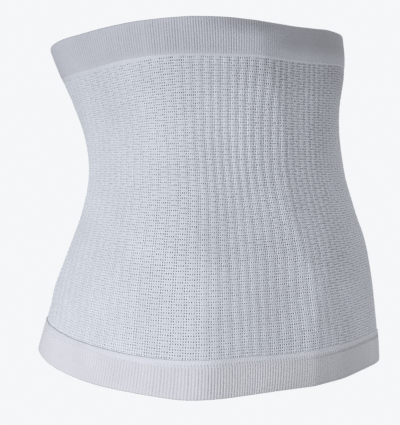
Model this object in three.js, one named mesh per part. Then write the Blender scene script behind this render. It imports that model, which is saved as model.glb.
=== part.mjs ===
// Knitted waist support sleeve: a hollow tube in the form it takes when worn, with a ribbed welt
// at each rim and an openwork knit body between them.
// Millimetres, +Z up, the wearer's front toward -Y and the wearer's left toward +X.
// The origin is the centre of the waist section, where the sleeve sits on the wearer.

import * as THREE from 'three';
import { ParametricGeometry } from 'three/addons/geometries/ParametricGeometry.js';
import { mergeVertices } from 'three/addons/utils/BufferGeometryUtils.js';

// Driving sizes. "Arc" is the length along the knit, upward from the waist line.
const TOP_RIM = 130.5;            // arc of the top rim
const TOP_BAND_DEPTH = 27.3;      // ribbed welt at the top
const UPPER_STRIP_DEPTH = 3.0;    // plain course under the top welt
const BOTTOM_RIM = -154.1;        // arc of the bottom rim
const BOTTOM_BAND_DEPTH = 24.3;   // ribbed welt at the bottom
const LOWER_STRIP_DEPTH = 5.5;    // plain strip above the bottom welt
const GAP = 0.3;                  // clearance between two neighbouring rings
const BODY_WALL = 1.8;            // knit thickness of the body
const BAND_WALL = 2.2;            // knit thickness of the welts
const STRIP_WALL = 2.0;           // knit thickness of the plain strips
const TOP_PROUD = 0.4;            // how far the top welt stands out from the body
const FOOT_PROUD = 0.8;           // how far the bottom welt and its strip stand out
const RIM_ROUND = 0.7;            // rounding of the two rims
const FRONT_POWER = 2.64;         // superellipse power of the front half of a section
const BACK_POWER = 3.02;          // the same for the back half
const FACET_SOFTNESS = 0.3;       // rounding of the edges of the two oblique front facets
const SWELL_SPREAD = 0.022;       // breadth of the swell along the hip edge, as a share of the girth

// Resolution
const COLUMNS = 84;               // facets round each ring
const FINE = 336;                 // meridians traced to measure the knit
const LEVEL_STEP = 2;             // step in height along a meridian

// Horizontal sections of the worn form, a row for each height. Each is widest at widestY, where it
// reaches halfWidth to either side, and from there goes frontDepth forward and backDepth back.
const SECTIONS = [
  { level: -155, halfWidth: 145.1, frontDepth: 146.0, backDepth: 122.9, widestY: 26.1 },
  { level: -140, halfWidth: 140.9, frontDepth: 145.5, backDepth: 121.7, widestY: 24.3 },
  { level: -125, halfWidth: 137.8, frontDepth: 143.2, backDepth: 119.5, widestY: 22.4 },
  { level: -105, halfWidth: 134.7, frontDepth: 138.0, backDepth: 115.1, widestY: 19.3 },
  { level: -80, halfWidth: 131.5, frontDepth: 129.0, backDepth: 107.4, widestY: 14.5 },
  { level: -50, halfWidth: 126.6, frontDepth: 116.2, backDepth: 96.5, widestY: 7.9 },
  { level: -20, halfWidth: 118.7, frontDepth: 103.0, backDepth: 88.2, widestY: 4.9 },
  { level: 10, halfWidth: 110.9, frontDepth: 96.9, backDepth: 84.5, widestY: 7.8 },
  { level: 40, halfWidth: 108.2, frontDepth: 101.9, backDepth: 85.0, widestY: 15.7 },
  { level: 70, halfWidth: 112.3, frontDepth: 111.2, backDepth: 88.1, widestY: 25.8 },
  { level: 100, halfWidth: 120.9, frontDepth: 119.9, backDepth: 92.4, widestY: 34.5 },
  { level: 120, halfWidth: 126.5, frontDepth: 122.5, backDepth: 94.0, widestY: 38.9 },
  { level: 135, halfWidth: 129.1, frontDepth: 121.4, backDepth: 93.5, widestY: 41.3 },
];

// The flat oblique facet on each side of the front, a row for each arc. Ridge and hip are its two
// edges as shares of the girth from the front midline; depth is how far its middle is drawn in,
// and swell is how far the hip edge stands out.
const FACETS = [
  { arc: -154, ridge: 0.020, hip: 0.124, depth: 5.0, swell: 2.5 },
  { arc: -118, ridge: 0.020, hip: 0.124, depth: 5.5, swell: 3.0 },
  { arc: -80, ridge: 0.010, hip: 0.126, depth: 6.0, swell: 3.0 },
  { arc: -50, ridge: 0.022, hip: 0.136, depth: 5.5, swell: 2.0 },
  { arc: -20, ridge: 0.030, hip: 0.146, depth: 5.0, swell: 1.0 },
  { arc: 20, ridge: 0.028, hip: 0.146, depth: 4.5, swell: 0.5 },
  { arc: 60, ridge: 0.030, hip: 0.148, depth: 4.5, swell: 0.5 },
  { arc: 95, ridge: 0.046, hip: 0.150, depth: 4.0, swell: 0.5 },
  { arc: 130, ridge: 0.056, hip: 0.152, depth: 3.0, swell: 0.5 },
];

const MATERIALS = {
  body: { color: 0xc3c7cf, roughness: 0.9, metalness: 0 },
  strip: { color: 0xc8cad1, roughness: 0.9, metalness: 0 },
  band: { color: 0xbcbec6, roughness: 0.92, metalness: 0 },
};

// A smooth curve through one table, evaluated at one value of its first column.
function tableCurve(rows, key, columns) {
  const at = Float64Array.from(rows, (row) => row[key]);
  const values = Float64Array.from(rows.flatMap((row) => columns.map((name) => row[name])));
  const curve = new THREE.CubicInterpolant(at, values, columns.length);
  return (x) => {
    const found = curve.evaluate(THREE.MathUtils.clamp(x, at[0], at[at.length - 1]));
    return Object.fromEntries(columns.map((name, i) => [name, found[i]]));
  };
}
const sectionAt = tableCurve(SECTIONS, 'level', ['halfWidth', 'frontDepth', 'backDepth', 'widestY']);
const facetAt = tableCurve(FACETS, 'arc', ['ridge', 'hip', 'depth', 'swell']);

// A point of the smooth form: angle 0 is the front midline, turning toward the wearer's right.
function formPoint(angle, level) {
  const { halfWidth, frontDepth, backDepth, widestY } = sectionAt(level);
  const s = Math.sin(angle);
  const c = Math.cos(angle);
  const power = 2 / (c > 0 ? FRONT_POWER : BACK_POWER);
  const reach = c > 0 ? frontDepth : backDepth;
  return new THREE.Vector3(
    -halfWidth * Math.sign(s) * Math.abs(s) ** power,
    widestY - reach * Math.sign(c) * Math.abs(c) ** power,
    level,
  );
}

// Meridians: each holds its points and their arcs, zero where it crosses the waist line.
const FIRST_LEVEL = SECTIONS[0].level;
const LAST_LEVEL = SECTIONS[SECTIONS.length - 1].level;
const LEVEL_COUNT = Math.round((LAST_LEVEL - FIRST_LEVEL) / LEVEL_STEP);
function traceMeridian(angle) {
  const points = [];
  const arcs = [0];
  let zeroArc = 0;
  for (let i = 0; i <= LEVEL_COUNT; i++) {
    points.push(formPoint(angle, FIRST_LEVEL + ((LAST_LEVEL - FIRST_LEVEL) * i) / LEVEL_COUNT));
    if (i === 0) continue;
    const run = points[i].distanceTo(points[i - 1]);
    if (points[i - 1].z < 0 && points[i].z >= 0) {
      zeroArc = arcs[i - 1] - (run * points[i - 1].z) / (points[i].z - points[i - 1].z);
    }
    arcs.push(arcs[i - 1] + run);
  }
  return { points, arcs: arcs.map((arc) => arc - zeroArc) };
}
const MERIDIANS = Array.from({ length: FINE }, (_, i) => traceMeridian((2 * Math.PI * i) / FINE));

function meridianPoint({ points, arcs }, arc) {
  let i = 1;
  while (i < arcs.length - 1 && arcs[i] < arc) i++;
  return points[i - 1].clone().lerp(points[i], (arc - arcs[i - 1]) / (arcs[i] - arcs[i - 1]));
}

// One course of the knit: a closed loop at one arc, read by its share of the girth.
const courses = new Map();
function courseAt(arc) {
  if (!courses.has(arc)) {
    const loop = MERIDIANS.map((meridian) => meridianPoint(meridian, arc));
    loop.push(loop[0].clone());
    const girth = [0];
    for (let i = 1; i < loop.length; i++) {
      girth.push(girth[i - 1] + Math.hypot(loop[i].x - loop[i - 1].x, loop[i].y - loop[i - 1].y));
    }
    courses.set(arc, { loop, girth });
  }
  return courses.get(arc);
}
function coursePoint(share, arc) {
  const { loop, girth } = courseAt(arc);
  const wanted = (share - Math.floor(share)) * girth[girth.length - 1];
  let i = 1;
  while (i < girth.length - 1 && girth[i] < wanted) i++;
  return loop[i - 1].clone().lerp(loop[i], (wanted - girth[i - 1]) / (girth[i] - girth[i - 1]));
}

// Outward direction of the smooth form, and how far the two oblique facets draw it in.
function outward(share, arc) {
  const round = coursePoint(share + 0.004, arc).sub(coursePoint(share - 0.004, arc));
  const up = coursePoint(share, arc + 1).sub(coursePoint(share, arc - 1));
  return up.cross(round).normalize();
}
function facetDraw(share, arc) {
  const fromFront = Math.abs(share - Math.round(share));
  const { ridge, hip, depth, swell } = facetAt(arc);
  const q = (fromFront - (ridge + hip) / 2) / ((hip - ridge) / 2);
  const dip = 1 - q * q;
  const edge = (fromFront - hip) / SWELL_SPREAD;
  return (depth * (dip + Math.hypot(dip, FACET_SOFTNESS))) / 2 - swell * Math.exp(-edge * edge);
}
function wallPoint(share, arc, depth) {
  return coursePoint(share, arc).addScaledVector(outward(share, arc), -depth - facetDraw(share, arc));
}

// The closed outline of one ring's wall: up the outside, over the top, down the inside.
function wallOutline({ from, to, wall, proud = 0, rows, innerRows, rimTop = 0, rimFoot = 0 }) {
  const outer = -proud;
  const inner = wall - proud;
  const low = from + rimFoot;
  const high = to - rimTop;
  const outline = [];
  for (let i = 0; i <= rows; i++) outline.push({ arc: low + ((high - low) * i) / rows, depth: outer });
  if (rimTop) outline.push({ arc: to, depth: outer + rimTop }, { arc: to, depth: inner - rimTop });
  for (let i = innerRows; i >= 0; i--) outline.push({ arc: low + ((high - low) * i) / innerRows, depth: inner });
  if (rimFoot) outline.push({ arc: from, depth: inner - rimFoot }, { arc: from, depth: outer + rimFoot });
  return outline;
}

function ring(name, finish, sizes) {
  const outline = wallOutline(sizes);
  const count = outline.length;
  const surface = (u, v, target) => {
    const column = Math.round(u * COLUMNS) % COLUMNS;
    const { arc, depth } = outline[Math.round(v * count) % count];
    target.copy(wallPoint(column / COLUMNS, arc, depth));
  };
  const grid = new ParametricGeometry(surface, COLUMNS, count);
  grid.deleteAttribute('normal');
  grid.deleteAttribute('uv');
  const geometry = mergeVertices(grid, 1e-3);
  // The columns run clockwise seen from above, so each triangle is turned to face out.
  const index = geometry.getIndex();
  for (let i = 0; i < index.count; i += 3) {
    const second = index.getX(i + 1);
    index.setX(i + 1, index.getX(i + 2));
    index.setX(i + 2, second);
  }
  geometry.computeVertexNormals();
  const mesh = new THREE.Mesh(geometry, new THREE.MeshStandardMaterial(MATERIALS[finish]));
  mesh.name = name;
  return mesh;
}

// Edges between the zones, from the top rim down.
const TOP_BAND_FOOT = TOP_RIM - TOP_BAND_DEPTH;
const UPPER_STRIP_FOOT = TOP_BAND_FOOT - UPPER_STRIP_DEPTH;
const BOTTOM_BAND_TOP = BOTTOM_RIM + BOTTOM_BAND_DEPTH;
const LOWER_STRIP_TOP = BOTTOM_BAND_TOP + LOWER_STRIP_DEPTH;

const sleeve = new THREE.Group();
sleeve.add(
  ring('top_band', 'band', {
    from: TOP_BAND_FOOT + GAP / 2, to: TOP_RIM, wall: BAND_WALL, proud: TOP_PROUD, rows: 3, innerRows: 2, rimTop: RIM_ROUND,
  }),
  ring('upper_strip', 'strip', {
    from: UPPER_STRIP_FOOT + GAP / 2, to: TOP_BAND_FOOT - GAP / 2, wall: STRIP_WALL, rows: 1, innerRows: 1,
  }),
  ring('knit_body', 'body', {
    from: LOWER_STRIP_TOP + GAP / 2, to: UPPER_STRIP_FOOT - GAP / 2, wall: BODY_WALL, rows: 12, innerRows: 7,
  }),
  ring('lower_strip', 'strip', {
    from: BOTTOM_BAND_TOP + GAP / 2, to: LOWER_STRIP_TOP - GAP / 2, wall: STRIP_WALL, proud: FOOT_PROUD, rows: 1, innerRows: 1,
  }),
  ring('bottom_band', 'band', {
    from: BOTTOM_RIM, to: BOTTOM_BAND_TOP - GAP / 2, wall: BAND_WALL, proud: FOOT_PROUD, rows: 3, innerRows: 2, rimFoot: RIM_ROUND,
  }),
);

export default sleeve;
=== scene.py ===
import math

import bpy
import numpy as np
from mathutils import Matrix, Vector


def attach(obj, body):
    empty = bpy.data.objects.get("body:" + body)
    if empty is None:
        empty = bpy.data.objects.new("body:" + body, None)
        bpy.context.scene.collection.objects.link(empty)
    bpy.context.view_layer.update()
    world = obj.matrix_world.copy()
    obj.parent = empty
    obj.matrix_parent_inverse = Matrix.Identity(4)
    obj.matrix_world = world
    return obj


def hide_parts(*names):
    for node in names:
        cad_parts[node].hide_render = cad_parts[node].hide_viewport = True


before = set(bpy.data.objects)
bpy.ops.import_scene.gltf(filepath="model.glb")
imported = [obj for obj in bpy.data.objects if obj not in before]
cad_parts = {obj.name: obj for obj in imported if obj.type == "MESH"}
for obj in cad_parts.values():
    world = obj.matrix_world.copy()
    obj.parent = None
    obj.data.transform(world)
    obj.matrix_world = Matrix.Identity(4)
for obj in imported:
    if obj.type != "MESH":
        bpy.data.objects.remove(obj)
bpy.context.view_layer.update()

# Knitted waist support sleeve in its worn form. Tables are in millimetres, in the part's frame:
# +Z up, the wearer's front toward -Y, the wearer's left toward +X. "Arc" is the length along the
# knit, upward from the waist line, and "share" is the part of the girth from the front midline,
# turning toward the wearer's right.
MM = 0.001
RNG = np.random.default_rng(20)

# ---------------------------------------------------------------- sizes of the form
TOP_RIM = 130.5
TOP_BAND_FOOT = 103.2
UPPER_STRIP_FOOT = 100.2
LOWER_STRIP_TOP = -124.3
BOTTOM_BAND_TOP = -129.8
BOTTOM_RIM = -154.1
SEAM = 0.02            # half of the hairline left between two neighbouring rings
BODY_WALL = 1.8
BAND_WALL = 2.2
STRIP_WALL = 2.0
TOP_PROUD = 0.4
FOOT_PROUD = 0.8
FRONT_POWER = 2.64
BACK_POWER = 3.02
FACET_SOFTNESS = 0.3, 0.7     # on the wearer's left, and on the wearer's right
HIP_SWELL = 1.0, 0.4          # part of the hip edge's swell, on the same two sides
RIDGE_CRISP = 0.18            # how much less soft the ridge beside the front midline is
SWELL_SPREAD = 0.022
HIP_SLIM = 1.3                # how far the knit is drawn in behind the wearer's right hip

# level, half width, depth forward, depth back, y of the widest place
SECTIONS = np.array([
    (-167, 148.1, 146.3, 123.8, 27.4),
    (-155, 145.1, 146.0, 122.9, 26.1),
    (-140, 140.9, 145.5, 121.7, 24.3),
    (-125, 137.8, 143.2, 119.5, 22.4),
    (-105, 134.7, 138.0, 115.1, 19.3),
    (-80, 131.5, 129.0, 107.4, 14.5),
    (-50, 126.6, 116.2, 96.5, 7.9),
    (-20, 118.7, 103.0, 88.2, 4.9),
    (10, 110.9, 96.9, 84.5, 7.8),
    (40, 108.2, 101.9, 85.0, 15.7),
    (70, 112.3, 111.2, 88.1, 25.8),
    (100, 120.9, 119.9, 92.4, 34.5),
    (120, 126.5, 122.5, 94.0, 38.9),
    (135, 129.1, 121.4, 93.5, 41.3),
    (147, 130.6, 120.0, 93.0, 42.8),
], float)

# arc, ridge share, hip share, depth of the facet, swell of the hip edge
FACETS = np.array([
    (-154, 0.020, 0.124, 5.0, 2.5),
    (-118, 0.020, 0.124, 5.5, 3.0),
    (-80, 0.010, 0.126, 6.0, 3.0),
    (-50, 0.022, 0.136, 5.5, 2.0),
    (-20, 0.030, 0.146, 5.0, 1.0),
    (20, 0.028, 0.146, 4.5, 0.5),
    (60, 0.030, 0.148, 4.5, 0.5),
    (95, 0.046, 0.150, 4.0, 0.5),
    (130, 0.056, 0.152, 3.0, 0.5),
], float)

# arc, swell of the wearer's left side
LEFT_SWELL = np.array([
    (-154, -1.9), (-115, -2.4), (-75, -2.0), (-30, -0.8), (20, 1.6), (65, 1.6), (100, 2.9), (130, 1.2),
], float)

# How far each rim lies above its level, by share from the front midline, below 0 on the wearer's
# left: the top rim and the bottom rim
RIMS = np.array([
    (-0.50, -4.0, 0.0), (-0.36, -1.0, -1.0), (-0.26, 2.5, -3.5), (-0.18, 6.0, -6.3), (-0.14, 6.9, -7.0),
    (-0.12, 6.5, -6.9), (-0.10, 5.6, -6.2), (-0.08, 4.4, -4.8), (-0.06, 3.0, -3.6), (-0.04, 1.3, -2.8),
    (-0.02, 0.2, -1.9), (0.00, -0.5, -1.3), (0.02, -0.5, -1.2), (0.04, -0.2, -1.0), (0.06, 0.6, -0.8),
    (0.08, 1.9, -0.8), (0.10, 2.3, -0.8), (0.12, 2.1, -0.6), (0.14, 1.1, -0.9), (0.16, 0.3, 0.0),
    (0.18, 0.0, 0.6), (0.20, -0.5, 0.5), (0.24, -0.8, -0.5), (0.28, -0.7, -0.8), (0.30, -1.3, -0.3),
    (0.32, -2.3, 0.6), (0.35, -4.0, 0.5), (0.40, -4.5, 0.0), (0.50, -4.0, 0.0),
], float)

# How far each seam lies above its level, by signed share: the top welt's foot, the upper strip's
# foot, the lower strip's top and the bottom welt's top
SEAMS = np.array([
    (-0.50, -3.0, -3.8, -0.5, -1.0), (-0.30, 0.0, 0.5, -3.0, -3.0), (-0.20, 3.6, 4.8, -6.6, -7.2),
    (-0.14, 4.6, 6.0, -7.5, -8.0), (-0.11, 4.3, 5.7, -6.9, -7.5), (-0.09, 3.5, 5.0, -6.0, -6.1),
    (-0.064, 1.5, 3.0, -5.0, -4.6), (-0.039, 0.0, 1.3, -4.5, -3.7), (-0.02, -0.75, 0.6, -3.7, -3.1),
    (0.00, -1.0, 0.3, -3.0, -3.2), (0.02, -0.9, 0.5, -3.0, -3.1), (0.04, -0.4, 0.8, -2.8, -2.4),
    (0.06, 0.4, 1.6, -2.2, -1.9), (0.09, 0.3, 1.7, -1.1, -1.4), (0.12, 0.4, 1.8, -1.3, -1.5),
    (0.15, 0.3, 1.7, -1.7, -1.7), (0.17, 0.0, 1.0, -1.5, -1.3), (0.19, -0.4, 0.0, -1.3, -1.0),
    (0.21, -0.9, -1.0, -1.3, -0.8), (0.23, -1.3, -1.8, -1.3, -0.3), (0.25, -1.9, -2.5, -1.5, -0.3),
    (0.27, -2.4, -3.2, -1.7, -1.0), (0.29, -2.9, -3.9, -1.2, -1.7), (0.31, -3.4, -4.6, -0.8, -1.7),
    (0.34, -3.6, -4.9, -0.7, -2.0), (0.40, -3.6, -4.6, -0.6, -1.6), (0.50, -3.0, -3.8, -0.5, -1.0),
], float)

# How closely the stitches lie, by share from the front midline: the body's wales, the ribs of the
# top welt and the ribs of the bottom welt
LAY = np.array([
    (0.00, 480, 330, 430), (0.02, 445, 300, 430), (0.04, 425, 328, 380), (0.06, 440, 350, 335),
    (0.08, 470, 349, 330), (0.10, 490, 352, 380), (0.12, 480, 350, 408), (0.14, 455, 356, 370),
    (0.16, 430, 365, 338), (0.18, 405, 356, 322), (0.20, 395, 335, 308), (0.22, 410, 310, 300),
    (0.26, 430, 260, 275), (0.30, 435, 242, 250), (0.34, 435, 250, 250), (0.42, 435, 310, 320), (0.50, 435, 340, 345),
], float)
OF_BODY, OF_TOP, OF_FOOT = 0, 1, 2

# How far the knit is drawn, by signed share: the width and height of the pinholes, the swell of the
# cords, the depth of the top and bottom welts' ribs, the folds above and below the lower strip, and
# the tone of the body
DRAW = np.array([
    (-0.50, 0.90, 0.95, 0.12, 0.80, 0.80, 0.5, 0.4, 1.0), (-0.30, 0.90, 0.92, 0.12, 0.60, 0.60, 0.5, 0.6, 1.0),
    (-0.16, 1.20, 0.95, 0.10, 0.15, 0.12, 0.40, 1.0, 0.995), (-0.08, 1.50, 0.95, 0.10, 0.12, 0.12, 0.35, 1.0, 0.995),
    (-0.02, 1.65, 0.97, 0.10, 0.12, 0.25, 0.1, 0.9, 1.0), (0.02, 1.65, 0.97, 0.085, 0.25, 0.65, 0.0, 0.75, 0.99),
    (0.06, 1.52, 0.97, 0.075, 0.90, 1.00, 0.0, 0.55, 0.99), (0.09, 1.22, 0.96, 0.10, 1.00, 1.00, 0.0, 0.4, 0.995),
    (0.12, 1.02, 0.97, 0.13, 1.00, 1.00, 0.05, 0.3, 0.975), (0.16, 0.95, 0.93, 0.155, 1.00, 0.95, 0.22, 0.15, 0.965),
    (0.20, 0.88, 0.88, 0.155, 1.00, 0.90, 0.45, 0.1, 0.965), (0.25, 0.86, 0.86, 0.14, 1.00, 0.50, 0.5, 0.1, 0.983),
    (0.30, 0.86, 0.86, 0.14, 0.70, 0.12, 0.5, 0.1, 1.0), (0.36, 0.87, 0.88, 0.13, 0.60, 0.20, 0.5, 0.1, 1.0),
    (0.42, 0.90, 0.92, 0.12, 0.80, 0.70, 0.5, 0.3, 1.0), (0.50, 0.90, 0.95, 0.12, 0.80, 0.80, 0.5, 0.4, 1.0),
], float)
WIDE, TALL, CORDS, TOP_DEPTH, FOOT_DEPTH, FOLD_ABOVE, FOLD_BELOW, TONE = range(8)

# ---------------------------------------------------------------- sizes of the knit
WALES = 440            # wales round the body
ROWS = 113             # courses of pinholes down the body
BODY_CUTS = (0, 38, 76, 113)   # courses at which the body is divided, to keep each mesh light
REPEAT = 10            # wales in one repeat of the pinhole pattern
HOLES = 7              # pinholes in a repeat, then a plain block
SHIFT = 5              # the next course starts this many wales on
START = 3              # wale at which the first course starts
HOLE_WIDTH = 0.43      # of a wale
HOLE_HEIGHT = 0.66     # of a course
PIT_DEPTH = 1.25       # depth of a pinhole
CORD_LIFT = 0.035      # how far every second wale stands up
FRONT_SWELL = 0.11     # how much higher the cords between the double columns are at the upper front
TOP_RIBS = 310         # ribs round the top welt
FOOT_RIBS = 321        # ribs round the bottom welt
RIB_STEPS = (0.0, 0.13, 0.31, 0.5, 0.69, 0.87)
RIB_DEPTH = 0.45       # groove between two ribs


def table_curve(rows, x):
    """Smooth curve through a table's rows, at each x: an array with the table's other columns."""
    t, v = rows[:, 0], rows[:, 1:]
    x = np.clip(np.asarray(x, float), t[0], t[-1])
    i = np.clip(np.searchsorted(t, x, side="right"), 1, len(t) - 1)
    before = np.where(i > 1, i - 2, i)
    after = np.where(i < len(t) - 1, i + 1, i - 1)
    t0, t1 = t[i - 1], t[i]
    half = (t1 - t0) / 2
    wp = half / (t0 - t[before])
    wn = half / (t[after] - t1)
    p = (x - t0) / (t1 - t0)
    p2, p3 = p * p, p * p * p
    weights = (
        -wp * p3 + 2 * wp * p2 - wp * p,
        (1 + wp) * p3 + (-1.5 - 2 * wp) * p2 + (-0.5 + wp) * p + 1,
        (-1 - wn) * p3 + (1.5 + wn) * p2 + 0.5 * p,
        wn * p3 - wn * p2,
    )
    return sum(w[..., None] * v[k] for w, k in zip(weights, (before, i - 1, i, after)))


def smooth(x):
    x = np.clip(x, 0, 1)
    return x * x * (3 - 2 * x)


# ---------------------------------------------------------------- the form, mapped by share and arc
COLUMNS = 2880
COURSE_STEP = 0.5
COURSES = np.arange(-164, 140.01, COURSE_STEP)


def map_form():
    angle = np.arange(COLUMNS) * (2 * math.pi / COLUMNS)
    s, c = np.sin(angle), np.cos(angle)
    front = c > 0
    power = np.where(front, 2 / FRONT_POWER, 2 / BACK_POWER)
    across = -np.sign(s) * np.abs(s) ** power
    along = np.sign(c) * np.abs(c) ** power

    def points(level):
        width, forward, back, widest = np.moveaxis(table_curve(SECTIONS, level), -1, 0)
        return np.stack([width * across, widest - np.where(front, forward, back) * along, level + 0 * across], -1)

    levels = np.arange(SECTIONS[0, 0], SECTIONS[-1, 0] + 0.5, 1.0)
    traced = points(np.repeat(levels[:, None], COLUMNS, 1))
    run = np.linalg.norm(np.diff(traced, axis=0), axis=-1)
    arcs = np.vstack([np.zeros(COLUMNS), np.cumsum(run, 0)])
    arcs -= arcs[np.argmin(np.abs(levels))]
    level = np.stack([np.interp(COURSES, arcs[:, k], levels) for k in range(COLUMNS)], 1)
    loops = points(level)
    step = np.roll(loops, -1, 1) - loops
    girth = np.cumsum(np.hypot(step[..., 0], step[..., 1]), 1)
    share = np.arange(COLUMNS) / COLUMNS
    skin = np.empty_like(loops)
    for i in range(len(COURSES)):
        at = np.concatenate([[0], girth[i]])
        for k in range(3):
            ring = np.append(loops[i, :, k], loops[i, 0, k])
            skin[i, :, k] = np.interp(share * at[-1], at, ring)
    round_ = np.roll(skin, -12, 1) - np.roll(skin, 12, 1)
    up = np.empty_like(skin)
    up[2:-2] = skin[4:] - skin[:-4]
    up[:2], up[-2:] = up[2], up[-3]
    out = np.cross(up, round_)
    out /= np.linalg.norm(out, axis=-1, keepdims=True)
    ridge, hip, depth, swell = np.moveaxis(table_curve(FACETS, COURSES), -1, 0)[..., None]
    aside = np.minimum(share, 1 - share)[None]
    q = (aside - (ridge + hip) / 2) / ((hip - ridge) / 2)
    dip = 1 - q * q
    right = (smooth(share / 0.06) * smooth((0.5 - share) / 0.1))[None]
    right = right * (1 - 0.7 * smooth((-105 - COURSES) / 30))[:, None]
    soft = FACET_SOFTNESS[0] + (FACET_SOFTNESS[1] - FACET_SOFTNESS[0]) * right * smooth((aside - 0.07) / 0.04)
    soft = soft - RIDGE_CRISP * smooth(((share + 0.5) % 1.0 - 0.48) / 0.04)[None] * smooth((0.10 - aside) / 0.04)
    swell = swell * (HIP_SWELL[0] + (HIP_SWELL[1] - HIP_SWELL[0]) * right)
    draw = depth * (dip + np.hypot(dip, soft)) / 2 - swell * np.exp(-(((aside - hip) / SWELL_SPREAD) ** 2))
    draw = draw + HIP_SLIM * smooth((-95 - COURSES) / 20)[:, None] * np.exp(-(((share - 0.34) / 0.06) ** 2))[None]
    left = table_curve(LEFT_SWELL, COURSES) * (share > 0.5)[None]
    draw = draw - left * np.exp(-(((aside - 0.13) / 0.045) ** 2)) * smooth(aside / 0.03)
    return skin - out * draw[..., None], out, girth[:, -1]


SKIN, OUT, GIRTH = map_form()


def drawn(share, column):
    return table_curve(DRAW, (share + 0.5) % 1.0 - 0.5)[..., column]


def rim_shift(share, arc):
    """Arc of a place once the rims and the seams are let up or down."""
    signed = (share + 0.5) % 1.0 - 0.5
    rim, foot = np.moveaxis(table_curve(RIMS, signed), -1, 0)
    welt, strip, low_strip, low_welt = np.moveaxis(table_curve(SEAMS, signed), -1, 0)

    def part(first, last):
        return np.clip((arc - first) / (last - first), 0, 1)

    up = strip * part(40.0, UPPER_STRIP_FOOT) + (welt - strip) * part(UPPER_STRIP_FOOT, TOP_BAND_FOOT)
    down = low_strip * part(-60.0, LOWER_STRIP_TOP) + (low_welt - low_strip) * part(LOWER_STRIP_TOP, BOTTOM_BAND_TOP)
    return arc + up + (rim - welt) * part(TOP_BAND_FOOT, TOP_RIM) + down + (foot - low_welt) * part(BOTTOM_BAND_TOP, BOTTOM_RIM)


def wall(share, arc, depth):
    """Points of the wall, that far under its outer face."""
    share, arc, depth = np.broadcast_arrays(*(np.asarray(a, float) for a in (share, arc, depth)))
    arc = rim_shift(share, arc)
    a = np.clip((arc - COURSES[0]) / COURSE_STEP, 0, len(COURSES) - 1.001)
    b = (share % 1.0) * COLUMNS
    i, j = a.astype(int), b.astype(int) % COLUMNS
    fa, fb = (a - i)[..., None], (b - np.floor(b))[..., None]
    j1 = (j + 1) % COLUMNS

    def mixed(grid):
        low = grid[i, j] * (1 - fb) + grid[i, j1] * fb
        high = grid[i + 1, j] * (1 - fb) + grid[i + 1, j1] * fb
        return low * (1 - fa) + high * fa

    return mixed(SKIN) - mixed(OUT) * depth[..., None]


# ---------------------------------------------------------------- the lay of the wales
def lay_tables():
    """Part of each course's stitches counted up to each share of the girth."""
    u = np.linspace(0, 1, 4001)
    density = table_curve(LAY, np.minimum(u, 1 - u))
    count = np.vstack([np.zeros(3), np.cumsum((density[1:] + density[:-1]) / 2, 0)])
    return (count / count[-1]).T, u


LAY_COUNT, LAY_SHARE = lay_tables()


def run_on(x, reach):
    """A ramp that starts softly at 0 and has the slope 1 from reach on."""
    t = np.clip(x / reach, 0, 1)
    return reach * (t ** 3 - t ** 4 / 2) + np.maximum(x - reach, 0)


def lay(part, arc, kind=OF_BODY):
    """Share at which a wale runs: part is its place among the wales, from 0 to 1."""
    base = np.interp(np.asarray(part, float) % 1.0, LAY_COUNT[kind], LAY_SHARE)
    signed = np.where(base > 0.5, base - 1, base)
    aside = np.abs(signed)
    back = smooth((0.5 - aside) / 0.18)
    above = 1.8e-4 * run_on(arc - 20, 40) * smooth(aside / 0.05) * (0.78 + 2.2 * aside)
    below = 0.9e-4 * run_on(-arc - 25, 40) * smooth((aside - 0.05) / 0.06) * (1 + 3 * np.maximum(aside - 0.17, 0))
    return base - np.sign(signed) * back * (above + below)


def ripple(x, y, waves, reach):
    """A smooth seeded unevenness between -1 and 1: x and y run from 0 to 1, and x wraps round."""
    total = 0
    for _ in range(waves):
        kx = RNG.integers(-reach, reach + 1)
        ky = RNG.uniform(-1, 1) * reach * 0.4
        total = total + np.sin(2 * math.pi * (kx * x + ky * y) + RNG.uniform(0, 2 * math.pi))
    return total / math.sqrt(2 * waves)


# ---------------------------------------------------------------- pieces
def add_piece(name, node, material, points, faces, knit, bake, point_values=None, shade_smooth=True):
    mesh = bpy.data.meshes.new(name)
    mesh.from_pydata(points * MM, [], faces)
    mesh.update()
    layer = mesh.uv_layers.new(name="OFBake")
    layer.uv.foreach_set("vector", np.ascontiguousarray(bake, np.float32).ravel())
    kept = mesh.attributes.new("knit", "FLOAT_VECTOR", "CORNER")
    kept.data.foreach_set("vector", np.ascontiguousarray(knit, np.float32).ravel())
    for key, values in (point_values or {}).items():
        kept = mesh.attributes.new(key, "FLOAT", "POINT")
        kept.data.foreach_set("value", np.ascontiguousarray(values, np.float32))
    mesh.polygons.foreach_set("use_smooth", np.full(len(mesh.polygons), shade_smooth))
    mesh.materials.append(material)
    mesh.validate()
    piece = bpy.data.objects.new(name, mesh)
    bpy.context.scene.collection.objects.link(piece)
    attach(piece, "root")
    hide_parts(node)
    return piece


def cord(wale, arc):
    """How far the knit stands up there: a cord between each two double columns of pinholes."""
    share = lay(wale / WALES, arc)
    aside = np.minimum(share % 1.0, 1 - share % 1.0)
    swell = drawn(share, CORDS) * (1 + 0.1 * smooth((-20 - arc) / 60)) + FRONT_SWELL * (0.15 + 0.85 * smooth((arc + 20) / 35)) * smooth((0.19 - aside) / 0.13) * smooth(aside / 0.03)
    return swell * np.cos(2 * math.pi * (wale - START - 3.5) / SHIFT)


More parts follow.
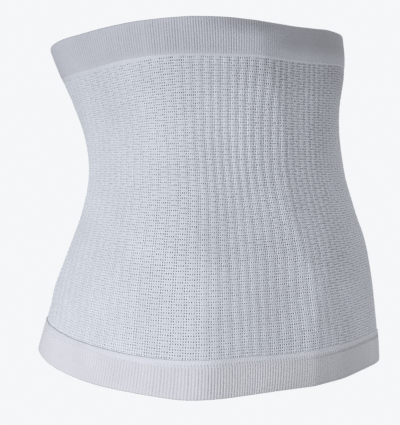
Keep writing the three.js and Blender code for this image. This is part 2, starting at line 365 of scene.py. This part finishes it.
def body_tone_and_painted_shade(share, arc):
    """Tone of the body's yarn there, with painted shade: it deepens a little under the top welt, on the wearer's left
    front, low on the right hip and at the waist, and a painted highlight lightens a narrow band on the wearer's right
    front.
    """
    signed = (share + 0.5) % 1.0 - 0.5

    def between(first, last, soft):
        return smooth((signed - first) / soft) * smooth((last - signed) / soft)

    # painted shade under the top welt, on the wearer's left front, low on the right hip and at the waist
    upper = smooth((arc - 70) / 25) * between(-0.30, 0.10, 0.06)
    left = smooth((arc - 10) / 60) * between(-0.22, -0.04, 0.06)
    hip = smooth((-70 - arc) / 30) * between(-0.05, 0.22, 0.05)
    waist = np.exp(-(((arc + 35) / 28) ** 2)) * between(0.08, 0.20, 0.05)
    # painted highlight in a narrow band on the wearer's right front
    front = smooth((arc + 20) / 40) * smooth((95 - arc) / 30) * np.exp(-(((signed - 0.075) / 0.02) ** 2))
    return drawn(share, TONE) * (1 - 0.11 * upper - 0.07 * left - 0.045 * hip - 0.04 * waist + 0.045 * front)


def knit_body(material):
    """Openwork body: a lattice of wales and courses, with a pit sunk in each pinhole. It is made
    in three rings that meet course to course."""
    top, foot = UPPER_STRIP_FOOT - SEAM, LOWER_STRIP_TOP + SEAM
    wale, row = np.meshgrid(np.arange(WALES), np.arange(ROWS + 1))
    x, y = wale / WALES, row / ROWS
    ends = (row == 0) | (row == ROWS)
    aside = 0.10 * ripple(x, y, 24, 30) + 0.04 * RNG.standard_normal(x.shape)
    along = np.where(ends, 0, 0.10 * ripple(x, y, 24, 24) + 0.03 * RNG.standard_normal(x.shape))
    arc = top + (foot - top) * (row + along) / ROWS
    lift = cord(wale, arc) + CORD_LIFT * (wale % 2 == 0) + 0.03 * RNG.standard_normal(x.shape)
    lift = np.where(row == 0, 0, np.where(row == ROWS, -0.6 * drawn(lay(x, arc), FOLD_ABOVE), lift))
    outer = wall(lay((wale + aside) / WALES, arc), arc, -lift)
    names = ("openwork_upper", "openwork_waist", "openwork_lower")
    return [
        body_ring(name, material, first, last, outer, aside, arc)
        for name, first, last in zip(names, BODY_CUTS[:-1], BODY_CUTS[1:])
    ]


def body_ring(name, material, first, last, outer, aside, arc):
    rows = last - first
    w, r = (g.ravel() for g in np.meshgrid(np.arange(WALES), np.arange(first, last)))
    hole = ((w - START - SHIFT * (r % 2)) % REPEAT < HOLES)
    hw, hr = w[hole], r[hole]
    near = ((hr, hw), (hr, (hw + 1) % WALES), (hr + 1, (hw + 1) % WALES), (hr + 1, hw))
    mid_wale = hw + 0.5 + sum(aside[i] for i in near) / 4 + 0.03 * RNG.standard_normal(len(hw))
    mid_arc = sum(arc[i] for i in near) / 4
    share = lay(mid_wale / WALES, mid_arc)
    size = (1 + 0.06 * RNG.standard_normal(len(hw))) * (1 - 0.13 * smooth((-40 - mid_arc) / 50))
    signed = (share + 0.5) % 1.0 - 0.5
    size = size * (1 - 0.08 * smooth((mid_arc + 10) / 50) * smooth((signed - 0.07) / 0.04) * smooth((0.26 - signed) / 0.06))
    size = size * (1 - 0.20 * smooth((mid_arc + 10) / 40) * smooth((-0.06 - signed) / 0.06) * smooth((signed + 0.30) / 0.10))
    wide, high = HOLE_WIDTH * size * drawn(share, WIDE), HOLE_HEIGHT * size * drawn(share, TALL)
    tall = (arc[near[0]] + arc[near[1]] - arc[near[2]] - arc[near[3]]) / 2
    signs = ((-1, 1), (1, 1), (1, -1), (-1, -1))
    rims = []
    for sx, sy in signs:
        at = mid_arc + sy * 0.5 * high * tall
        beside = mid_wale + sx * 0.5 * wide
        rims.append(wall(lay(beside / WALES, at), at, 0.06 - cord(beside, at)))
    deep = PIT_DEPTH * (1 + 0.06 * RNG.standard_normal(len(hw))) - cord(mid_wale, mid_arc)
    bottom = wall(lay(mid_wale / WALES, mid_arc), mid_arc, deep)

    inner_rows = 4
    iw, ir = np.meshgrid(np.arange(WALES), np.arange(inner_rows + 1))
    ends = arc[first].mean(), arc[last].mean()
    inner_arc = np.array([arc[first] * (1 - t) + arc[last] * t for t in np.arange(inner_rows + 1) / inner_rows])
    inner = wall(lay(iw / WALES, inner_arc), inner_arc, BODY_WALL - 0.12 * (iw % 2))
    shell = outer[first:last + 1]
    points = np.concatenate([shell.reshape(-1, 3), *rims, bottom, inner.reshape(-1, 3)])
    n, holes = (rows + 1) * WALES, len(hw)
    pit, opened = np.zeros(len(points)), np.zeros(len(points))
    pit[n + 4 * holes:n + 5 * holes] = 1
    shell_share = lay(np.arange(WALES) / WALES, arc[first:last + 1])
    opened[:n] = np.minimum(drawn(shell_share, WIDE) * drawn(shell_share, TALL), 1.3).ravel()
    # the body's own tone with its painted shade and highlight, kept as a point attribute for the material
    shaded_tone = np.ones(len(points))
    shaded_tone[:n] = body_tone_and_painted_shade(shell_share, arc[first:last + 1]).ravel()
    shaded_tone[n:n + 5 * holes] = np.tile(body_tone_and_painted_shade(share, mid_arc), 5)

    def corners(w, r, base=0):
        w1 = (w + 1) % WALES
        return base + r * WALES + w, base + r * WALES + w1, base + (r + 1) * WALES + w1, base + (r + 1) * WALES + w

    def places(w, r, kind, step=1):
        return (w, r, kind), (w + 1, r, kind), (w + 1, r + step, kind), (w, r + step, kind)

    faces, knit = [], []

    def add(ids, coords):
        faces.append(np.stack(ids, -1))
        knit.append(np.stack([np.stack(np.broadcast_arrays(*(np.asarray(v, float) for v in c)), -1) for c in coords], 1))

    # stitches with a pinhole: a frame round it and four sides down to its bottom
    corner, at = corners(hw, hr - first), places(hw, hr, 0)
    rim = [n + k * holes + np.arange(holes) for k in range(4)]
    rim_at = [(hw + 0.5 + sx * 0.5 * HOLE_WIDTH, hr + 0.5 - sy * 0.5 * HOLE_HEIGHT, 0) for sx, sy in signs]
    deep, deep_at = n + 4 * holes + np.arange(holes), (hw + 0.5, hr + 0.5, 0)
    for k in range(4):
        k1 = (k + 1) % 4
        add((corner[k], corner[k1], rim[k1]), (at[k], at[k1], rim_at[k1]))
        add((corner[k], rim[k1], rim[k]), (at[k], rim_at[k1], rim_at[k]))
        add((rim[k], rim[k1], deep), (rim_at[k], rim_at[k1], deep_at))
    # plain stitches
    (a, b, c, d), (ka, kb, kc, kd) = corners(w[~hole], r[~hole] - first), places(w[~hole], r[~hole], 0.4)
    add((a, b, c), (ka, kb, kc))
    add((a, c, d), (ka, kc, kd))
    # the inside
    iw, ir = (g.ravel() for g in np.meshgrid(np.arange(WALES), np.arange(inner_rows)))
    base, scale = n + 5 * holes, rows / inner_rows
    (a, b, c, d), (ka, kb, kc, kd) = corners(iw, ir, base), places(iw, first + ir * scale, 1, scale)
    add((a, d, c), (ka, kd, kc))
    add((a, c, b), (ka, kc, kb))
    # the two edges
    w = np.arange(WALES)
    w1 = (w + 1) % WALES
    ao, bo, ai, bi = w, w1, base + w, base + w1
    add((ao, ai, bi), ((w, first, 0.4), (w, first, 1), (w + 1, first, 1)))
    add((ao, bi, bo), ((w, first, 0.4), (w + 1, first, 1), (w + 1, first, 0.4)))
    ao, bo = rows * WALES + w, rows * WALES + w1
    ai, bi = base + inner_rows * WALES + w, base + inner_rows * WALES + w1
    add((ao, bo, bi), ((w, last, 0.4), (w + 1, last, 0.4), (w + 1, last, 1)))
    add((ao, bi, ai), ((w, last, 0.4), (w + 1, last, 1), (w, last, 1)))
    faces, knit = np.concatenate(faces), np.concatenate(knit)

    # Flat layout: the outside in four quarters, one above the other, and the inside below them
    u, v, kind = np.moveaxis(knit, -1, 0)
    down = 1 - (v - first) / rows
    quarter = np.floor(u.mean(1) / (WALES / 4))[:, None]
    bake_u = 0.005 + 0.99 * (u - quarter * WALES / 4) / (WALES / 4)
    bake_v = 0.16 + 0.21 * quarter + 0.20 * down
    whole = 0.005 + 0.99 * u / WALES
    within = kind.min(1)[:, None] > 0.9
    edge = (kind.max(1)[:, None] > 0.9) & ~within
    bake_u = np.where(within | edge, whole, bake_u)
    bake_v = np.where(within, 0.03 + 0.12 * down, bake_v)
    bake_v = np.where(edge, np.where(down > 0.5, 0.0, 0.012) + 0.008 * (kind > 0.9), bake_v)
    return add_piece(
        name, "knit_body", material, points, faces,
        knit, np.stack([bake_u, bake_v], -1), {"pit": pit, "opened": opened, "shaded_tone": shaded_tone}, shade_smooth=False,
    )


def ring_piece(name, node, material, outline, ribs, kind, relief, paint):
    """A ring swept round the form. outline rows are arc, depth, and the relief's weight there;
    relief gives how far each place is sunk where that weight is 1, and paint how much painted shade
    darkens it, and below 0 how much painted light lightens it, both by rib, arc and share."""
    outline = np.asarray(outline, float)
    count, steps = len(outline), np.array(RIB_STEPS)
    columns = ribs * len(steps)
    col = np.arange(columns)
    rib = np.floor(col / len(steps)) + steps[col % len(steps)]
    arc = np.repeat(outline[:, :1], columns, 1)
    uneven = 1 + 0.12 * RNG.standard_normal(ribs)[col // len(steps)]
    share = lay(rib[None] / ribs, arc, kind)
    depth = outline[:, 1:2] + outline[:, 2:3] * relief(rib[None], arc, share) * uneven[None]
    points = wall(share, arc, depth).reshape(-1, 3)
    k, m = (g.ravel() for g in np.meshgrid(col, np.arange(count)))
    k1, m1 = (k + 1) % columns, (m + 1) % count
    faces = np.stack([m * columns + k, m * columns + k1, m1 * columns + k1, m1 * columns + k], -1)
    flat = np.concatenate([[0], np.cumsum(np.hypot(*np.diff(np.vstack([outline, outline[:1]])[:, :2], axis=0).T))])
    inner = 1.0 * (outline[:, 1] > outline[:, 1].mean())
    ribs_at = np.append(rib, ribs)
    at = [(k, m, flat[m]), (k + 1, m, flat[m]), (k + 1, m1, flat[m + 1]), (k, m1, flat[m + 1])]
    knit = np.stack([np.stack([ribs_at[c], outline[r % count, 0], inner[r % count]], -1) for c, r, _ in at], 1)
    half = k >= columns / 2
    bake = np.stack([
        np.stack([
            0.01 + 0.98 * (c - half * columns / 2) / (columns / 2),
            np.where(half, 0.02, 0.51) + 0.46 * (1 - f / flat[-1]),
        ], -1) for c, _, f in at
    ], 1)
    # painted shade and painted light on the outer face, kept as the shade attribute
    shade = paint(rib[None], arc, share) * (1 - inner[:, None])
    piece = add_piece(name, node, material, points, faces, knit, bake, {"shade": shade.ravel()})
    piece.data.set_sharp_from_angle(angle=math.radians(62))
    return piece


def groove(rib):
    return 1 - np.abs(np.sin(math.pi * rib)) ** 0.8


def top_relief(rib, arc, share):
    return RIB_DEPTH * drawn(share, TOP_DEPTH) * groove(rib)


def top_paint(rib, arc, share):
    # painted shade in the rib grooves, a dark line along the rim, painted shade near the rim and over the welt on the
    # front and the wearer's left, and painted light on the wearer's right side
    edge = smooth((arc - TOP_RIM + 0.9) / 0.6)
    fade = smooth((arc - TOP_BAND_FOOT) / 3.0)
    signed = (share + 0.5) % 1.0 - 0.5
    fade_back = smooth((signed + 0.40) / 0.15)
    welt_rim_shade = 0.29 * smooth((0.13 - signed) / 0.07) * smooth((arc - TOP_RIM + 15) / 11)
    welt_front_shade = 0.30 * smooth((0.06 - signed) / 0.055) * smooth((arc - TOP_BAND_FOOT) / 13)
    lit_side_light = 0.04 * smooth((signed - 0.22) / 0.06) * smooth((0.48 - signed) / 0.1)
    return 0.17 * drawn(share, TOP_DEPTH) * fade * groove(rib) + 0.25 * edge * (1 - fade_front(signed)) + fade_back * np.maximum(welt_rim_shade, welt_front_shade) - lit_side_light


def fade_front(signed):
    return 0.6 * smooth((0.10 - signed) / 0.06)


def foot_relief(rib, arc, share):
    return RIB_DEPTH * drawn(share, FOOT_DEPTH) * groove(rib)


def foot_paint(rib, arc, share):
    # painted shade in the rib grooves, in the crease at the welt's top under the lower strip and about the front
    # midline, a dark line along the rim, and painted light on the wearer's right side
    edge = smooth((BOTTOM_RIM + 0.7 - arc) / 0.5)
    fold_shade = smooth((arc - BOTTOM_BAND_TOP + 0.6) / 0.5) * smooth((drawn(share, FOLD_BELOW) - 0.5) / 0.4)
    signed = (share + 0.5) % 1.0 - 0.5
    lit_side_light = smooth((signed - 0.15) / 0.13) * smooth((0.48 - signed) / 0.1)
    midline_shade = smooth((0.08 - signed) / 0.05) * smooth((signed + 0.10) / 0.06)
    return 0.17 * drawn(share, FOOT_DEPTH) * groove(rib) + 0.10 * edge + 0.25 * fold_shade - 0.06 * lit_side_light + 0.08 * midline_shade


def chains(rib, arc):
    """Two courses of slanting loops, like a herringbone, above the bottom welt."""
    down = LOWER_STRIP_TOP - arc
    upper = smooth((down - 0.6) / 0.5) * smooth((3.0 - down) / 0.5)
    lower = smooth((down - 2.9) / 0.4) * smooth((5.3 - down) / 0.5)
    return down, upper * groove(rib - 0.26 * (down - 1.8)), lower * groove(rib + 0.20 * (down - 5.3))


def strip_relief(rib, arc, share):
    down, upper, lower = chains(rib, arc)
    tucked = 1.5 * drawn(share, FOLD_ABOVE) * smooth((0.55 - down) / 0.55)
    return 0.28 * upper + 0.50 * lower + tucked


def strip_paint(rib, arc, share):
    # painted shade in the crease under the body's edge where the fold above is deep, in the slanting loops, and in a
    # line along the strip's foot where the fold below is deep
    down, upper, lower = chains(rib, arc)
    above, below = drawn(share, FOLD_ABOVE), drawn(share, FOLD_BELOW)
    line = smooth((down - 4.4) / 0.6)
    ticks = smooth((0.19 - (share + 0.5) % 1.0 + 0.5) / 0.07)
    return 0.36 * above * smooth((0.5 - down) / 0.3) + 0.06 * upper + 0.30 * ticks * lower + 0.30 * below * line * smooth((below - 0.5) / 0.4)


def no_relief(rib, arc, share):
    return 0 * share


def top_band(material):
    outer, inner = -TOP_PROUD, BAND_WALL - TOP_PROUD
    low, high = TOP_BAND_FOOT + SEAM, TOP_RIM
    rows = [(high, outer + 1.1, 0.15), (high - 0.20, outer + 0.55, 0.3), (high - 0.55, outer + 0.2, 0.5), (high - 1.1, outer, 0.75)]
    rows += [(high - 1.1 - (high - low - 2.0) * t, outer, 1.0) for t in (0.12, 0.3, 0.5, 0.7, 0.88)]
    rows += [(low + 1.2, outer + 0.05, 0.75), (low + 0.6, outer + 0.12, 0.5), (low, outer + 0.2, 0.25)]
    rows += [(low, inner - 0.4, 0.0), (low + 0.4, inner, -0.3), (low + 8, inner, -0.5), (low + 17, inner, -0.5), (high - 1.0, inner, -0.4)]
    rows += [(high - 0.45, inner - 0.2, -0.2), (high - 0.1, inner - 0.6, 0.0)]
    return ring_piece("top_welt", "top_band", material, rows, TOP_RIBS, OF_TOP, top_relief, top_paint)


def bottom_band(material):
    outer, inner = -FOOT_PROUD, BAND_WALL - FOOT_PROUD
    low, high = BOTTOM_RIM, BOTTOM_BAND_TOP - SEAM
    rows = [(high, outer, 0.6), (high - 0.4, outer, 0.9), (high - 0.9, outer, 1.0)]
    rows += [(high - 0.9 - (high - low - 2.0) * t, outer, 1.0) for t in (0.12, 0.3, 0.5, 0.7, 0.88)]
    rows += [(low + 1.1, outer, 0.75), (low + 0.55, outer + 0.2, 0.5), (low + 0.20, outer + 0.55, 0.3), (low, outer + 1.1, 0.15)]
    rows += [(low + 0.1, inner - 0.6, 0.0), (low + 0.45, inner - 0.2, -0.2), (low + 1.0, inner, -0.4)]
    rows += [(low + 8, inner, -0.5), (low + 16, inner, -0.5), (high - 0.4, inner, -0.3), (high, inner - 0.4, 0.0)]
    return ring_piece("bottom_welt", "bottom_band", material, rows, FOOT_RIBS, OF_FOOT, foot_relief, foot_paint)


def upper_strip(material):
    outer, inner = 0.0, STRIP_WALL
    low, high = UPPER_STRIP_FOOT + SEAM, TOP_BAND_FOOT - SEAM
    rows = [(high, outer - 0.2, 0.25), (high - 0.8, outer - 0.15, 0.15), (high - 1.5, outer - 0.1, 0.15)]
    rows += [(low + 0.9, outer - 0.05, 0.15), (low, outer, 0.1)]
    rows += [(low, inner, 0.0), ((low + high) / 2, inner, -0.2), (high, inner, 0.0)]
    return ring_piece("upper_plain_strip", "upper_strip", material, rows, TOP_RIBS, OF_TOP, top_relief, no_relief)


def lower_strip(material):
    outer, inner = -FOOT_PROUD, STRIP_WALL - FOOT_PROUD
    low, high = BOTTOM_BAND_TOP + SEAM, LOWER_STRIP_TOP - SEAM
    rows = [(high, outer + 0.15, 1.0), (high - 0.25, outer + 0.1, 1.0), (high - 0.5, outer + 0.05, 1.0), (high - 0.9, outer, 1.0)]
    rows += [(high - d, outer, 1.0) for d in (1.35, 1.8, 2.2, 2.6, 3.0, 3.35, 3.7, 4.05, 4.4, 4.75)]
    rows += [(low + 0.3, outer, 1.0), (low, outer, 1.0)]
    rows += [(low, inner, 0.0), ((low + high) / 2, inner, 0.0), (high, inner, 0.0)]
    return ring_piece("lower_plain_strip", "lower_strip", material, rows, FOOT_RIBS, OF_FOOT, strip_relief, strip_paint)


# ---------------------------------------------------------------- materials
class Nodes:
    """A few short ways to build a node tree."""

    def __init__(self, material):
        material.use_nodes = True
        self.tree = material.node_tree
        self.tree.nodes.clear()

    def add(self, kind, **values):
        node = self.tree.nodes.new(kind)
        for key, value in values.items():
            setattr(node, key, value)
        return node

    def put(self, socket, value):
        if isinstance(value, bpy.types.NodeSocket):
            self.tree.links.new(value, socket)
        else:
            socket.default_value = value

    def math(self, operation, a, b=None, c=None, clamp=False):
        node = self.add("ShaderNodeMath", operation=operation, use_clamp=clamp)
        for socket, value in zip(node.inputs, (a, b, c)):
            if value is not None:
                self.put(socket, value)
        return node.outputs[0]

    def ramp(self, value, low, high, to_low=0.0, to_high=1.0, soft=True):
        node = self.add("ShaderNodeMapRange", interpolation_type="SMOOTHSTEP" if soft else "LINEAR")
        for socket, number in zip(node.inputs, (value, low, high, to_low, to_high)):
            self.put(socket, number)
        return node.outputs[0]

    def noise(self, vector, scale, detail=2.0, roughness=0.5):
        node = self.add("ShaderNodeTexNoise")
        self.put(node.inputs["Vector"], vector)
        node.inputs["Scale"].default_value = scale
        node.inputs["Detail"].default_value = detail
        node.inputs["Roughness"].default_value = roughness
        return node.outputs["Fac"]

    def mix(self, factor, a, b, blend="MIX"):
        node = self.add("ShaderNodeMix", data_type="RGBA", blend_type=blend)
        self.put(node.inputs[0], factor)
        self.put(node.inputs[6], a)
        self.put(node.inputs[7], b)
        return node.outputs[2]

    def combine(self, x, y, z):
        node = self.add("ShaderNodeCombineXYZ")
        for socket, value in zip(node.inputs, (x, y, z)):
            self.put(socket, value)
        return node.outputs[0]

    def grey(self, value):
        return self.combine(value, value, value)

    def attribute(self, name):
        return self.add("ShaderNodeAttribute", attribute_name=name)


def fabric(name, base, roughness=0.9, sheen=0.15):
    material = bpy.data.materials.new(name)
    material.diffuse_color = (*base, 1)
    n = Nodes(material)
    shader = n.add("ShaderNodeBsdfPrincipled")
    shader.inputs["Roughness"].default_value = roughness
    shader.inputs["Specular IOR Level"].default_value = 0.2
    shader.inputs["Sheen Weight"].default_value = sheen
    shader.inputs["Sheen Roughness"].default_value = 0.5
    shader.inputs["Sheen Tint"].default_value = (0.95, 0.97, 1.0, 1)
    end = n.add("ShaderNodeOutputMaterial")
    n.tree.links.new(shader.outputs[0], end.inputs["Surface"])
    return material, n, shader


def knit_coordinates(n):
    split = n.add("ShaderNodeSeparateXYZ")
    n.tree.links.new(n.attribute("knit").outputs["Vector"], split.inputs[0])
    return split.outputs


def bump(n, shader, height, strength, distance):
    node = n.add("ShaderNodeBump")
    node.inputs["Strength"].default_value = strength
    node.inputs["Distance"].default_value = distance
    n.put(node.inputs["Height"], height)
    n.tree.links.new(node.outputs[0], shader.inputs["Normal"])


def stitch_height(n, across, along):
    """V-shaped loops of a knit: across counts wales and along counts courses."""
    off = n.math("ABSOLUTE", n.math("SUBTRACT", n.math("FRACT", n.math("ADD", across, 0.5)), 0.5))
    leg = n.math("SINE", n.math("MULTIPLY", n.math("ADD", along, n.math("MULTIPLY", off, 1.1)), 2 * math.pi))
    crown = n.math("COSINE", n.math("MULTIPLY", off, 2 * math.pi))
    return n.math("ADD", n.math("MULTIPLY", leg, 0.5), n.math("MULTIPLY", crown, 0.5))


def tones(n, base, place, spread=0.035, fine=0.06):
    """The base colour with slow and fine unevenness."""
    slow = n.noise(place, 28.0, 2.0)
    yarn = n.noise(place, 1700.0, 1.0)
    level = n.math("ADD", n.ramp(slow, 0.3, 0.7, 1 - spread, 1 + spread, soft=False), n.ramp(yarn, 0.3, 0.7, -fine, fine, soft=False))
    return n.mix(1.0, (*base, 1), n.grey(level), "MULTIPLY")


def body_material():
    base = (0.583, 0.610, 0.668)
    material, n, shader = fabric("pinhole_knit", base)
    across, along, kind = knit_coordinates(n)
    place = n.add("ShaderNodeTexCoord").outputs["Object"]
    # painted shade deep in each pinhole: the colour there is darkened by up to three quarters
    pit_shade_mask = n.ramp(n.attribute("pit").outputs["Fac"], 0.12, 0.42)
    plain = n.math("MULTIPLY", n.math("GREATER_THAN", kind, 0.2), n.math("LESS_THAN", kind, 0.7))
    beside = n.math("ABSOLUTE", n.math("SUBTRACT", n.math("FRACT", across), 0.5))
    astride = n.math("ABSOLUTE", n.math("SUBTRACT", n.math("FRACT", along), 0.5))
    # plain stitches are darkened a little, and more at the centre of each as painted shade of a dimple, most where the
    # knit is drawn open
    dimple_shade = n.math("MULTIPLY", n.ramp(beside, 0.36, 0.16), n.ramp(astride, 0.42, 0.22))
    sunk = n.math("MULTIPLY_ADD", dimple_shade, 0.16, 0.06)
    sunk = n.math("MULTIPLY", n.math("MULTIPLY", plain, sunk), n.attribute("opened").outputs["Fac"])
    level = n.math("MULTIPLY", n.math("SUBTRACT", 1.0, sunk), n.math("SUBTRACT", 1.0, n.math("MULTIPLY", pit_shade_mask, 0.75)))
    # painted light and shade: the colour is a little darker toward the top and lighter toward the bottom
    height = n.add("ShaderNodeSeparateXYZ")
    n.put(height.inputs[0], place)
    level = n.math("MULTIPLY", level, n.math("MULTIPLY_ADD", height.outputs["Z"], -0.35, 1.0))
    # the body's own tone with its painted shade and highlight
    level = n.math("MULTIPLY", level, n.attribute("shaded_tone").outputs["Fac"])
    colour = n.mix(1.0, tones(n, base, place), n.grey(level), "MULTIPLY")
    n.tree.links.new(colour, shader.inputs["Base Color"])
    height = n.math("MULTIPLY", stitch_height(n, across, along), n.math("SUBTRACT", 1.0, pit_shade_mask))
    bump(n, shader, height, 0.25, 0.00015)
    return material


def welt_material(name, base):
    """Rib and plain knit, darkened by the painted shade in the piece's shade attribute, and lightened where that is
    below 0, as painted light.
    """
    material, n, shader = fabric(name, base)
    across, along, within = knit_coordinates(n)
    place = n.add("ShaderNodeTexCoord").outputs["Object"]
    # painted shade, and painted light where the shade is below 0
    level = n.math("SUBTRACT", 1.0, n.attribute("shade").outputs["Fac"])
    colour = n.mix(1.0, tones(n, base, place, fine=0.02), n.grey(level), "MULTIPLY")
    n.tree.links.new(colour, shader.inputs["Base Color"])
    bump(n, shader, stitch_height(n, n.math("ADD", across, 0.5), n.math("MULTIPLY", along, 0.75)), 0.04, 0.0001)
    return material


# ---------------------------------------------------------------- stage, light and camera
BACKDROP = (0.913, 0.922, 0.939)


def glowing(name, colour):
    material = bpy.data.materials.new(name)
    n = Nodes(material)
    glow = n.add("ShaderNodeEmission")
    glow.inputs["Color"].default_value = (*colour, 1)
    end = n.add("ShaderNodeOutputMaterial")
    n.tree.links.new(glow.outputs[0], end.inputs["Surface"])
    return material


def build_stage():
    material = glowing("pale_studio", BACKDROP)
    turns = np.arange(96) * (2 * math.pi / 96)
    floor_points = [(8 * math.cos(a), 8 * math.sin(a), -0.5) for a in turns]
    floor = bpy.data.meshes.new("floor")
    floor.from_pydata(floor_points, [], [tuple(range(96))])
    tall = [-0.5] + [8 * math.sin(math.radians(e)) for e in range(5, 86, 10)]
    wide = [8.0] + [8 * math.cos(math.radians(e)) for e in range(5, 86, 10)]
    dome_points = [(r * math.cos(a), r * math.sin(a), z) for r, z in zip(wide, tall) for a in turns]
    dome_faces = [
        (i * 96 + k, (i + 1) * 96 + k, (i + 1) * 96 + (k + 1) % 96, i * 96 + (k + 1) % 96)
        for i in range(len(tall) - 1) for k in range(96)
    ]
    dome_faces.append(tuple((len(tall) - 1) * 96 + k for k in reversed(range(96))))
    dome = bpy.data.meshes.new("backdrop")
    dome.from_pydata(dome_points, [], dome_faces)
    for mesh in (floor, dome):
        mesh.materials.append(material)
        thing = bpy.data.objects.new(mesh.name, mesh)
        bpy.context.scene.collection.objects.link(thing)
        thing.visible_diffuse = False
        thing.visible_glossy = False
        thing.visible_transmission = False
        thing.visible_shadow = False


# Soft light round the stage: azimuth from the wearer's front toward the wearer's right, elevation,
# how narrow each glow is, and its strength
GLOWS = (
    (0, 90, 1, 0.17),
    (0, 0, 1, 0.43),
    (300, 35, 1, 0.64),
    (225, 10, 3, 1.40),
)
KEY_AZIMUTH, KEY_ELEVATION, KEY_SPREAD, KEY_STRENGTH = 85, 0, 40, 3.24


def heading(azimuth, elevation):
    a, e = math.radians(azimuth), math.radians(elevation)
    return Vector((-math.sin(a) * math.cos(e), -math.cos(a) * math.cos(e), math.sin(e)))


def build_light():
    world = bpy.data.worlds.new("studio")
    bpy.context.scene.world = world
    n = Nodes(world)
    toward = n.add("ShaderNodeTexCoord").outputs["Generated"]
    total = 0.0
    for azimuth, elevation, narrow, strength in GLOWS:
        facing = n.add("ShaderNodeVectorMath", operation="DOT_PRODUCT")
        n.put(facing.inputs[0], toward)
        facing.inputs[1].default_value = heading(azimuth, elevation)
        glow = n.math("POWER", n.math("MAXIMUM", facing.outputs["Value"], 0.0), float(narrow))
        total = n.math("MULTIPLY_ADD", glow, strength, total)
    sky = n.add("ShaderNodeBackground")
    sky.inputs["Color"].default_value = (1, 1, 1, 1)
    n.put(sky.inputs["Strength"], total)
    end = n.add("ShaderNodeOutputWorld")
    n.tree.links.new(sky.outputs[0], end.inputs["Surface"])
    world.cycles.sampling_method = "NONE"
    key = bpy.data.lights.new("key", "SUN")
    key.energy = KEY_STRENGTH
    key.angle = math.radians(KEY_SPREAD)
    lamp = bpy.data.objects.new("key", key)
    lamp.rotation_euler = heading(KEY_AZIMUTH, KEY_ELEVATION).to_track_quat("Z", "Y").to_euler()
    bpy.context.scene.collection.objects.link(lamp)


def build_camera():
    data = bpy.data.cameras.new("camera")
    data.sensor_fit = "AUTO"
    data.sensor_width = 36
    data.lens = 798.79 * 36 / 425
    data.shift_x = -(202.10 - 200) / 425
    data.clip_start, data.clip_end = 0.01, 60
    camera = bpy.data.objects.new("camera", data)
    bpy.context.scene.collection.objects.link(camera)
    turn, pitch = 0.734863, 0.060815
    look = Vector((math.sin(turn) * math.cos(pitch), math.cos(turn) * math.cos(pitch), -math.sin(pitch)))
    camera.location = (-0.4874, -0.5109, 0.0194)
    camera.rotation_euler = look.to_track_quat("-Z", "Y").to_euler()
    bpy.context.scene.camera = camera


build_camera()
build_stage()
build_light()
bpy.context.scene.view_settings.view_transform = "Standard"
bpy.context.scene.view_settings.look = "None"
bpy.context.scene.cycles.use_denoising = False   # it smears the pinholes, which are 2 pixels wide

body_knit = body_material()
top_knit = welt_material("top_rib_knit", (0.446, 0.463, 0.515))
foot_knit = welt_material("bottom_rib_knit", (0.568, 0.577, 0.621))
upper = upper_strip(welt_material("upper_plain_knit", (0.520, 0.542, 0.596)))
lower = lower_strip(welt_material("lower_plain_knit", (0.572, 0.590, 0.640)))
top_band(top_knit)
for ring, flat in zip(knit_body(body_knit), ((0.64, 0.0755), (0.64, 0.0755), (0.70, 0.0735))):
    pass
bottom_band(foot_knit)
